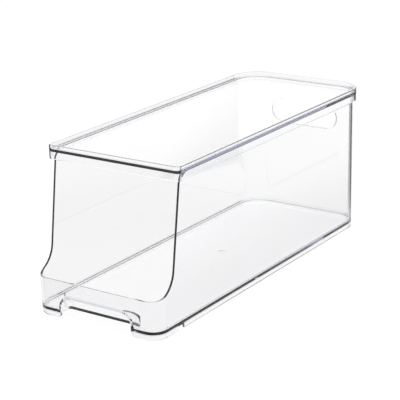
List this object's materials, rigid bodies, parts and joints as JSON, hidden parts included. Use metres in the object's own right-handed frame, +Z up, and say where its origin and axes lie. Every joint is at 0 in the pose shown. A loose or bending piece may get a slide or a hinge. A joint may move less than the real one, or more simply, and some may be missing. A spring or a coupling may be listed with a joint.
{
  "type": "stackable storage bin",
  "caption": "Clear open-front stackable storage bin: swept side walls, low front lip with a finger pull, hand slot in the back, lift-off rimmed lid.",
  "frame": {"origin": "middle of the bounding box's footprint, on the surface that the foot stands on", "axes": "+X to the right seen from the open front, +Y from the open front to the closed back, +Z up"},
  "size_m": [0.148, 0.38, 0.1535],
  "materials": {
    "clear_bin": "clear, polished mould",
    "clear_lid": "clear, polished mould"
  },
  "bodies": {
    "bin": {"bin": "clear_bin"},
    "lid": {"lid": "clear_lid"}
  },
  "joints": [
    {"name": "lid_lift", "type": "slide", "parent": "bin", "child": "lid", "axis": [0, 0, 1], "range_m": [0, 0.06]}
  ]
}
